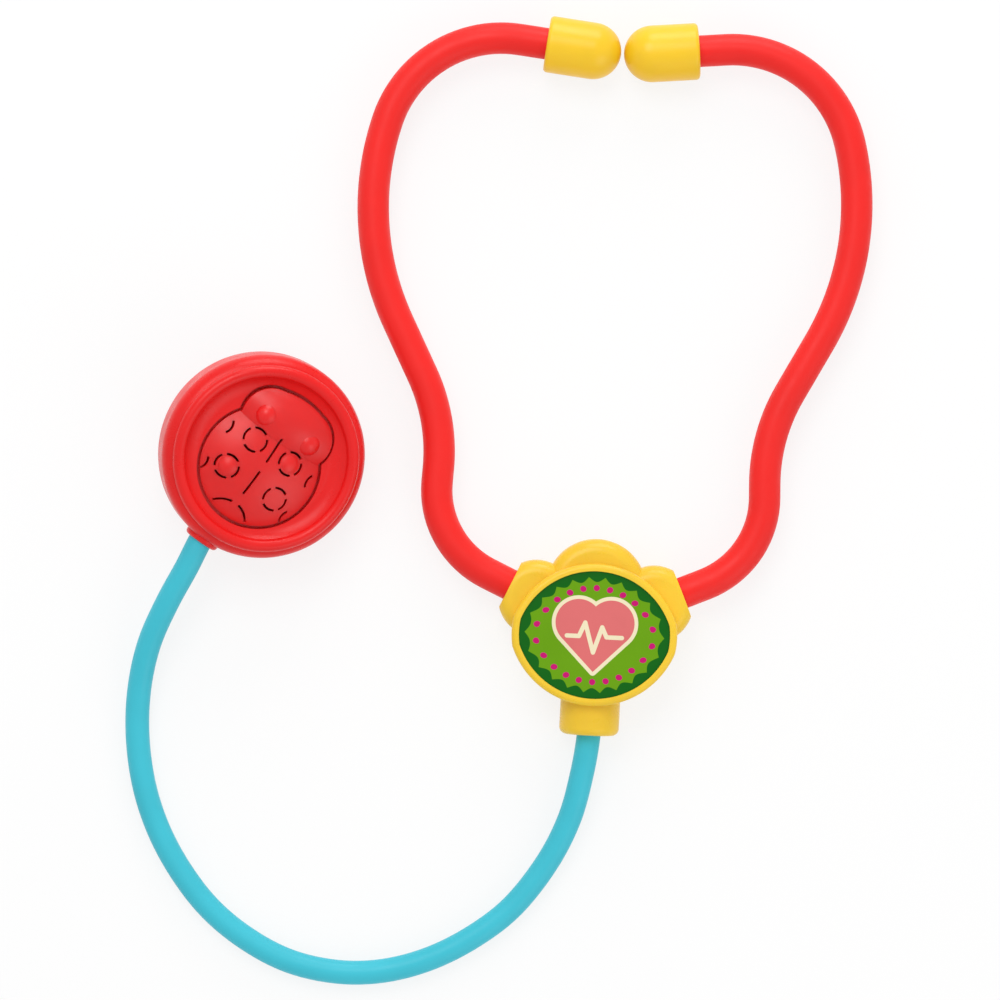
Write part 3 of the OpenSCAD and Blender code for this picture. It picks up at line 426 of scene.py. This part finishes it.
def tube_curve(name, line, diameter, rounds=14):
    """An open curve with a round section along a line."""
    deselect()
    bpy.ops.curve.primitive_nurbs_path_add(enter_editmode=False, location=(0, 0, 0))
    obj = bpy.context.object
    obj.name = obj.data.name = name
    curve = obj.data
    curve.splines.clear()
    spline = curve.splines.new("POLY")
    spline.points.add(len(line) - 1)
    for p, co in zip(spline.points, line):
        p.co = (co[0], co[1], co[2], 1.0)
    curve.dimensions = "3D"
    curve.bevel_depth = diameter / 2
    curve.bevel_resolution = rounds
    curve.use_fill_caps = True
    spline.use_smooth = True
    return obj


def tube_mesh(name, line, diameter, rounds=14):
    """A closed mesh with a round section along a line."""
    tube_curve(name, line, diameter, rounds)
    bpy.ops.object.convert(target="MESH")
    obj = bpy.context.object
    bpy.ops.object.mode_set(mode="EDIT")
    bpy.ops.mesh.select_all(action="SELECT")
    bpy.ops.mesh.remove_doubles(threshold=0.00001)
    bpy.ops.mesh.normals_make_consistent(inside=False)
    bpy.ops.object.mode_set(mode="OBJECT")
    bpy.ops.object.shade_smooth_by_angle(angle=math.radians(50))
    obj.data.materials.clear()
    return obj


# Stage

# Point of the table under the camera, in metres
AIM = (-0.03007, 0.03875)
CAMERA_ROLL = math.radians(2.85)
SENSOR_W = 36
CLIP_END = 20
TABLE_W, TABLE_Z = 6, -0.2 * MM
FLOOR_GLOW = 0.8
WORLD_LIGHT = 0.65
# Name, place, diameter and power of each lamp
LAMPS = (("key_softbox", (-0.3, 0.68, 1.18), 0.8, 5.4),
         ("top_softbox", (0.1, 1.3, 0.45), 0.8, 5.4),
         ("fill_softbox", (0.75, -0.75, 0.8), 1.1, 3.0))


class STETHO_OT_stage(bpy.types.Operator):
    """Camera above the table, pale table top and soft studio light"""
    bl_idname = "stetho.stage"
    bl_label = "Stage"

    def execute(self, context):
        s, c = sizes(), colours()
        scene = context.scene
        scene.view_settings.view_transform = "Standard"
        deselect()
        bpy.ops.object.camera_add(location=(*AIM, s.camera_z), rotation=(0, 0, CAMERA_ROLL))
        cam = context.object
        cam.name = "photo_camera"
        cam.data.sensor_width = SENSOR_W
        cam.data.lens = SENSOR_W * (s.camera_z - s.axis_z) / s.view_w
        cam.data.clip_end = CLIP_END
        scene.camera = cam
        deselect()
        bpy.ops.mesh.primitive_plane_add(size=TABLE_W, location=(0, 0, TABLE_Z))
        floor = context.object
        floor.name = "table_top"
        mat, net, shader = new_material("Pale table")
        tone = net.noise(net.coords(), 9.0, detail=3.0)
        net.feed(shader.inputs["Base Color"], net.mix(
            tone, with_alpha(c.floor), with_alpha(c.floor, 0.99)))
        shader.inputs["Roughness"].default_value = 0.85
        shader.inputs["Specular IOR Level"].default_value = 0.1
        # The camera and reflections see the table nearly white, with the object's shadow
        glow = net.node("ShaderNodeEmission")
        glow.inputs["Color"].default_value = (1, 1, 1, 1)
        path = net.node("ShaderNodeLightPath")
        both = net.node("ShaderNodeMixShader")
        seen = net.math("MAXIMUM", path.outputs["Is Camera Ray"], path.outputs["Is Glossy Ray"])
        net.feed(both.inputs[0], net.math("MULTIPLY", seen, FLOOR_GLOW))
        net.feed(both.inputs[1], shader.outputs[0])
        net.feed(both.inputs[2], glow.outputs[0])
        out = next(n for n in net.tree.nodes if n.type == "OUTPUT_MATERIAL")
        net.feed(out.inputs["Surface"], both.outputs[0])
        floor.data.materials.append(mat)
        world = scene.world or bpy.data.worlds.new("Studio")
        scene.world = world
        world.use_nodes = True
        back = next(n for n in world.node_tree.nodes if n.type == "BACKGROUND")
        back.inputs["Color"].default_value = (1.0, 1.0, 1.0, 1)
        back.inputs["Strength"].default_value = WORLD_LIGHT
        for name, place, size, power in LAMPS:
            deselect()
            bpy.ops.object.light_add(type="AREA", location=place)
            lamp = context.object
            lamp.name = name
            lamp.data.shape = "DISK"
            lamp.data.size = size
            lamp.data.energy = power
            look = Vector((*AIM, 0)) - Vector(place)
            lamp.rotation_euler = look.to_track_quat("-Z", "Y").to_euler()
        return {"FINISHED"}


# Pieces

# Middle line of the hose in millimetres, from the hub's collar to the chest piece
HOSE_ROUTE = [
    (0, -20.25, 8.5), (0, -30.25, 8.5), (-1.5, -42.5, 7.6), (-4.5, -56, 5.6), (-10.5, -69.5, 4.1),
    (-20, -83, 3.6), (-31, -92.5, 3.6), (-44, -100, 3.6), (-58, -104.5, 3.6), (-72, -105.5, 3.6),
    (-86.5, -103, 3.6), (-99.5, -97, 3.6), (-111, -88.5, 3.6), (-120.5, -77.5, 3.6),
    (-128, -65, 3.6), (-133, -51.5, 3.6), (-135.5, -37, 4.1), (-135.5, -23, 5.6),
    (-133, -9.5, 9), (-128, 3, 13), (-122.5, 14, 16), (-118.942, 21.950, 16.419),
    (-115.987, 26.589, 16.419)]


class STETHO_OT_hose(bpy.types.Operator):
    """The blue hose that lies on the table from the hub to the chest piece"""
    bl_idname = "stetho.hose"
    bl_label = "Hose"

    def execute(self, context):
        s = sizes()
        line = smooth_route([Vector(p) * MM for p in HOSE_ROUTE])
        hose = tube_curve("blue_hose", line, s.hose_d)
        hose.data.materials.append(moulded(
            "Blue hose", colours().hose, shade=0.93, cloud=45.0, grain=900.0, depth=0.00001,
            rough=(0.34, 0.46)))
        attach(hose, "base")
        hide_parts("hose")
        return {"FINISHED"}


# Headset in millimetres: place and heading of the hub's right socket, how far a tube goes into it,
# the tube's runs and bends, and the ear tip that its end goes into
SOCKET_X, SOCKET_Y, SOCKET_TILT = 25.75, 13.5, 24
TUBE_SEAT = 11
TUBE_LEGS = [(18.5, 0), (28, 68.5), (4, 0), (55, -30), (17.5, 0), (82, 43.5), (36, 80)]
TUBE_PACE = 2.0
EAR_GAP, EAR_R, EAR_LEN, EAR_SEAT = 0.8, 8.5, 22.5, 8.85


class STETHO_OT_headset(bpy.types.Operator):
    """The two soft red headset tubes, with their runs and bends"""
    bl_idname = "stetho.headset"
    bl_label = "Headset tubes"

    def execute(self, context):
        s = sizes()
        tilt = math.radians(SOCKET_TILT)
        x, y = SOCKET_X - TUBE_SEAT * math.cos(tilt), SOCKET_Y - TUBE_SEAT * math.sin(tilt)
        points, end = walk(TUBE_LEGS, (x, y, SOCKET_TILT), TUBE_PACE)
        # The last run ends inside the ear tip, whose nose is near the mirror plane
        reach = (EAR_GAP / 2 + EAR_R - end[0]) / math.cos(math.radians(end[2]))
        more, _ = walk([(reach - EAR_LEN + EAR_R + EAR_SEAT, 0)], end, TUBE_PACE)
        points += more[1:]
        mat = moulded("Soft red tube", colours().tube, shade=0.93, cloud=40.0, grain=1100.0,
                      depth=0.00001, rough=(0.36, 0.5), subsurface=0.1)
        for side, name in ((-1, "left"), (1, "right")):
            line = [Vector((side * x * MM, y * MM, s.axis_z)) for x, y in points]
            tube = tube_mesh(name + "_headset_tube", line, s.tube_d)
            tube.data.materials.append(mat)
            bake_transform(tube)
            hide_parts(name + "_tube_flex", name + "_arm_tube")
        return {"FINISHED"}


class STETHO_OT_ear_tips(bpy.types.Operator):
    """Finish of the yellow ear tips"""
    bl_idname = "stetho.ear_tips"
    bl_label = "Ear tips"

    def execute(self, context):
        mat = moulded("Yellow ear tip", colours().ear, shade=0.94, cloud=55.0, grain=1500.0,
                      depth=0.00001, rough=(0.28, 0.36), specular=0.4, subsurface=0.1)
        for node in ("left_ear_tip", "right_ear_tip"):
            dress(node, mat)
        return {"FINISHED"}


class STETHO_OT_hub(bpy.types.Operator):
    """Finish of the yellow hub: yoke halves, medallion frame and collar"""
    bl_idname = "stetho.hub"
    bl_label = "Hub"

    def execute(self, context):
        mat = moulded("Yellow hub plastic", colours().hub, shade=0.93, cloud=60.0, grain=1700.0,
                      depth=0.000006, rough=(0.26, 0.36), specular=0.35, subsurface=0.12)
        for node in ("yoke_back", "yoke_front", "badge_frame", "hose_collar"):
            dress(node, mat)
        return {"FINISHED"}


class STETHO_OT_medallion(bpy.types.Operator):
    """Printed plate of the hub's medallion"""
    bl_idname = "stetho.medallion"
    bl_label = "Medallion print"

    def execute(self, context):
        dress("badge_insert", medallion_print())
        return {"FINISHED"}


class STETHO_OT_chest_piece(bpy.types.Operator):
    """Finish of the red chest piece: shells, ladybird button, battery door and inner frame"""
    bl_idname = "stetho.chest_piece"
    bl_label = "Chest piece"

    def execute(self, context):
        c = colours()
        shell = moulded("Red chest plastic", c.chest, shade=0.93, cloud=50.0, grain=1700.0,
                        depth=0.000005, rough=(0.26, 0.36), specular=0.3)
        button = moulded("Red button plastic", c.chest, shade=0.94, cloud=60.0, grain=1700.0,
                         depth=0.000005, rough=(0.3, 0.38), specular=0.45, subsurface=0.9,
                         bleed=0.004)
        for node in ("chest_back", "chest_front", "battery_door", "speaker_frame"):
            dress(node, shell)
        dress("button", button)
        return {"FINISHED"}


def select_faces(obj, test):
    """Selects the faces of a mesh in edit mode whose middle and normal pass a test."""
    bpy.ops.mesh.select_all(action="DESELECT")
    bpy.ops.object.mode_set(mode="OBJECT")
    for f in obj.data.polygons:
        f.select = test(f.center, f.normal)
    bpy.ops.object.mode_set(mode="EDIT")


def cross_cutter(span, depth):
    """A tapered cross that cuts a screw's recess, from half a depth below the origin upward."""
    taper = 0.6
    deselect()
    bpy.ops.mesh.primitive_grid_add(x_subdivisions=3, y_subdivisions=3, size=span)
    cutter = bpy.context.object
    bpy.ops.object.mode_set(mode="EDIT")
    bpy.ops.mesh.select_mode(type="FACE")
    arm = span / 6
    select_faces(cutter, lambda c, n: abs(c.x) > arm and abs(c.y) > arm)
    bpy.ops.mesh.delete(type="FACE")
    bpy.ops.mesh.select_all(action="SELECT")
    bpy.ops.transform.translate(value=(0, 0, -depth / 2))
    bpy.ops.mesh.extrude_region_move(TRANSFORM_OT_translate={"value": (0, 0, depth * 1.5)})
    bpy.ops.transform.resize(value=(taper, taper, 1), center_override=(0, 0, depth))
    bpy.ops.mesh.select_all(action="SELECT")
    bpy.ops.mesh.normals_make_consistent(inside=False)
    bpy.ops.object.mode_set(mode="OBJECT")
    return cutter


def pan_screw(name, foot, tip):
    """A pan-head screw on the Z axis, its head's face at height foot and its point at tip."""
    head_r, head_h, head_round, shank_r = 2.3 * MM, 1.6 * MM, 0.55 * MM, 1.1 * MM
    point, recess_w, recess_deep = 0.35, 2.5 * MM, 1.0 * MM
    deselect()
    bpy.ops.mesh.primitive_cylinder_add(
        vertices=48, radius=head_r, depth=head_h, location=(0, 0, head_h / 2))
    obj = bpy.context.object
    obj.name = obj.data.name = name
    bpy.ops.object.transform_apply(location=True)
    bpy.ops.object.mode_set(mode="EDIT")
    bpy.ops.mesh.select_mode(type="FACE")
    select_faces(obj, lambda c, n: n.z < -0.9)
    bpy.ops.mesh.region_to_loop()
    bpy.ops.mesh.bevel(offset=head_round, segments=5, affect="EDGES")
    bpy.ops.mesh.select_mode(type="FACE")
    select_faces(obj, lambda c, n: n.z > 0.9)
    bpy.ops.mesh.inset(thickness=head_r - shank_r)
    run = tip - foot - head_h - shank_r
    bpy.ops.mesh.extrude_region_move(TRANSFORM_OT_translate={"value": (0, 0, run)})
    bpy.ops.mesh.extrude_region_move(TRANSFORM_OT_translate={"value": (0, 0, shank_r)})
    bpy.ops.transform.resize(value=(point, point, 1), center_override=(0, 0, head_h + run))
    bpy.ops.object.mode_set(mode="OBJECT")
    cutter = cross_cutter(recess_w, recess_deep)
    cutter.select_set(False)
    bpy.context.view_layer.objects.active = obj
    obj.select_set(True)
    cut = obj.modifiers.new("Cross recess", "BOOLEAN")
    cut.operation = "DIFFERENCE"
    cut.object = cutter
    bpy.ops.object.modifier_apply(modifier=cut.name)
    bpy.data.objects.remove(cutter)
    bpy.ops.object.shade_smooth_by_angle(angle=math.radians(35))
    obj.location = (0, 0, foot)
    deselect()
    obj.select_set(True)
    bpy.ops.object.transform_apply(location=True)
    return obj


# Middle of the chest piece's back in millimetres, its turn on the table and its tip to one side
CHEST_AT = (-104.1, 50.2, 5.746)
CHEST_TURN = math.radians(-32.5)
CHEST_TIP = math.radians(14)


def chest_place():
    """Place and turn of the chest piece, as it lies on the table."""
    return (Matrix.Translation(Vector(CHEST_AT) * MM) @ Matrix.Rotation(CHEST_TURN, 4, "Z")
            @ Matrix.Rotation(CHEST_TIP, 4, "Y"))


# Screws in millimetres: heights of the head's face and of the point above the back that they go in
# from, and places on it. SCREW_TURN is how far each recess is turned on from the last, in radians
CHEST_RING_R = 25.1
CHEST_RING = [(CHEST_RING_R * math.cos(math.radians(a)), CHEST_RING_R * math.sin(math.radians(a)))
              for a in (35, 145, 220, 320)]
YOKE_SCREWS = (1.4, 12.5, [(0, 19), (-12.5, -8), (12.5, -8)])
CHEST_SCREWS = (1.9, 16.7, CHEST_RING)
DOOR_SCREW = (0.4, 6.70, [(0, 5.55)])
SCREW_TURN = 0.7


class STETHO_OT_screws(bpy.types.Operator):
    """Cross-recessed screws of the hub, the chest piece and the battery door"""
    bl_idname = "stetho.screws"
    bl_label = "Screws"

    def execute(self, context):
        steel = moulded("Plated steel", srgb(190, 192, 196), shade=0.85, cloud=160.0,
                        grain=2400.0, depth=0.00001, rough=(0.25, 0.4), metallic=1.0)
        for node, (foot, tip, spots), place in (
                ("yoke_screws", YOKE_SCREWS, Matrix.Identity(4)),
                ("chest_screws", CHEST_SCREWS, chest_place()),
                ("door_screw", DOOR_SCREW, chest_place())):
            for i, (x, y) in enumerate(spots):
                screw = pan_screw("%s_%d" % (node, i + 1), foot * MM, tip * MM)
                turn = Matrix.Rotation(SCREW_TURN * i, 4, "Z")
                screw.matrix_world = place @ Matrix.Translation((x * MM, y * MM, 0)) @ turn
                bpy.ops.object.transform_apply(location=True, rotation=True)
                screw.data.materials.append(steel)
                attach(screw, "base")
                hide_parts(node)
        return {"FINISHED"}


def hollow_dome(name, steps, hollow):
    """A turned dome on the Z axis: steps and hollow are its outer and inner (radius, height)."""
    (r0, _), (_, h1) = steps[:2]
    deselect()
    bpy.ops.mesh.primitive_cylinder_add(
        vertices=40, radius=r0 * MM, depth=h1 * MM, location=(0, 0, h1 * MM / 2))
    obj = bpy.context.object
    obj.name = obj.data.name = name
    bpy.ops.object.transform_apply(location=True)
    bpy.ops.object.mode_set(mode="EDIT")
    bpy.ops.mesh.select_mode(type="FACE")
    for facing, profile in ((1, steps[1:]), (-1, hollow)):
        select_faces(obj, lambda c, n: n.z * facing > 0.9)
        if facing < 0:
            bpy.ops.mesh.inset(thickness=(r0 - hollow[0][0]) * MM)
        for (ra, ha), (rb, hb) in zip(profile, profile[1:]):
            bpy.ops.mesh.extrude_region_move(
                TRANSFORM_OT_translate={"value": (0, 0, (hb - ha) * MM)})
            if rb != ra:
                bpy.ops.transform.resize(value=(rb / ra, rb / ra, 1))
    bpy.ops.mesh.select_all(action="SELECT")
    bpy.ops.mesh.normals_make_consistent(inside=False)
    bpy.ops.object.mode_set(mode="OBJECT")
    bpy.ops.object.shade_smooth_by_angle(angle=math.radians(35))
    return obj


# Button springs and rubber dome in the chest piece, in millimetres: places, lowest and highest
# points, and the dome's outer and inner (radius, height)
SPRING_SPOTS = ((-8.4, 13.2), (8.4, 13.2))
SPRING_LOW, SPRING_TOP = 13.9, 19.6
SPRING_R, SPRING_WIRE, SPRING_TURNS = 2.0, 0.5, 4
TURN_STEPS = 24
DOME_Y, DOME_LOW, DOME_TOP, DOME_FOOT = 15.6, 10.25, 13.65, 0.6
DOME_OUTSIDE = [(3.4, 0.0), (3.4, 0.6), (2.4, 2.6), (1.8, 3.4)]
DOME_INSIDE = [(2.6, 0.0), (2.6, 0.6), (1.4, 2.4)]


class STETHO_OT_springs(bpy.types.Operator):
    """The button's return springs and rubber dome"""
    bl_idname = "stetho.springs"
    bl_label = "Springs"

    def execute(self, context):
        place = chest_place()

        def spot(x, y, z):
            return place @ (Vector((x, y, z)) * MM)

        low, top, steps = SPRING_LOW, SPRING_TOP, SPRING_TURNS * TURN_STEPS
        for i, (x, y) in enumerate(SPRING_SPOTS):
            line = []
            for k in range(steps + 1):
                a = math.tau * k / TURN_STEPS
                line.append(spot(x + SPRING_R * math.cos(a), y + SPRING_R * math.sin(a),
                                 low + (top - low) * k / steps))
            spring = tube_mesh("button_spring_%d" % (i + 1), line, SPRING_WIRE * MM, rounds=3)
            spring.data.materials.append(bpy.data.materials["Plated steel"])
            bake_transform(spring)
            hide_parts("button_springs")
        y, low, top, foot = DOME_Y, DOME_LOW, DOME_TOP, DOME_FOOT
        dome = hollow_dome("rubber_dome", DOME_OUTSIDE, DOME_INSIDE)
        dome.matrix_world = place @ Matrix.Translation(Vector((0, y, low)) * MM)
        bpy.ops.object.transform_apply(location=True, rotation=True)
        dome.data.materials.append(moulded(
            "Grey rubber", srgb(150, 150, 150), shade=0.9, cloud=160.0, grain=1500.0,
            depth=0.00003, rough=(0.6, 0.75)))
        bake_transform(dome)
        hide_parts("switch_dome")
        return {"FINISHED"}


class STETHO_OT_inner_works(bpy.types.Operator):
    """Finish of the pieces inside the shells"""
    bl_idname = "stetho.inner_works"
    bl_label = "Inner works"

    def execute(self, context):
        steel = bpy.data.materials["Plated steel"]
        white = moulded("White plug plastic", srgb(222, 222, 216), shade=0.94, cloud=120.0,
                        grain=2000.0, depth=0.00002, rough=(0.4, 0.55))
        paper = moulded("Speaker cone", srgb(170, 66, 56), shade=0.85, cloud=200.0,
                        grain=900.0, depth=0.00005, rough=(0.6, 0.8))
        board = moulded("Circuit board", srgb(30, 110, 60), shade=0.8, cloud=180.0,
                        grain=1500.0, depth=0.00002, rough=(0.35, 0.5))
        for mat, names in (
                (steel, "cells cell_contacts"),
                (white, "left_tube_plug right_tube_plug hub_hose_plug chest_hose_plug"),
                (paper, "speaker"), (board, "circuit_board")):
            for node in names.split():
                dress(node, mat)
        return {"FINISHED"}


class STETHO_PT_panel(bpy.types.Panel):
    bl_label = "Toy Stethoscope"
    bl_idname = "STETHO_PT_panel"
    bl_space_type = "VIEW_3D"
    bl_region_type = "UI"
    bl_category = "Stethoscope"

    def draw(self, context):
        col = self.layout.column(align=True)
        for op in OPERATORS:
            col.operator(op.bl_idname)
        for group in (sizes(), colours()):
            box = self.layout.box()
            for key in group.__annotations__:
                box.prop(group, key)


OPERATORS = (STETHO_OT_stage, STETHO_OT_hose, STETHO_OT_headset, STETHO_OT_ear_tips,
             STETHO_OT_hub, STETHO_OT_medallion, STETHO_OT_chest_piece, STETHO_OT_screws,
             STETHO_OT_springs, STETHO_OT_inner_works)
CLASSES = (StethoscopeSizes, StethoscopeColours) + OPERATORS + (STETHO_PT_panel,)


def register():
    for cls in CLASSES:
        bpy.utils.register_class(cls)
    bpy.types.Scene.stethoscope_sizes = bpy.props.PointerProperty(type=StethoscopeSizes)
    bpy.types.Scene.stethoscope_colours = bpy.props.PointerProperty(type=StethoscopeColours)


def unregister():
    del bpy.types.Scene.stethoscope_colours
    del bpy.types.Scene.stethoscope_sizes
    for cls in reversed(CLASSES):
        bpy.utils.unregister_class(cls)


def main():
    register()
    bpy.ops.stetho.stage()
    bpy.ops.stetho.hose()
    bpy.ops.stetho.headset()
    bpy.ops.stetho.ear_tips()
    bpy.ops.stetho.hub()
    bpy.ops.stetho.medallion()
    bpy.ops.stetho.chest_piece()
    bpy.ops.stetho.screws()
    bpy.ops.stetho.springs()
    bpy.ops.stetho.inner_works()


if __name__ == "__main__":
    main()
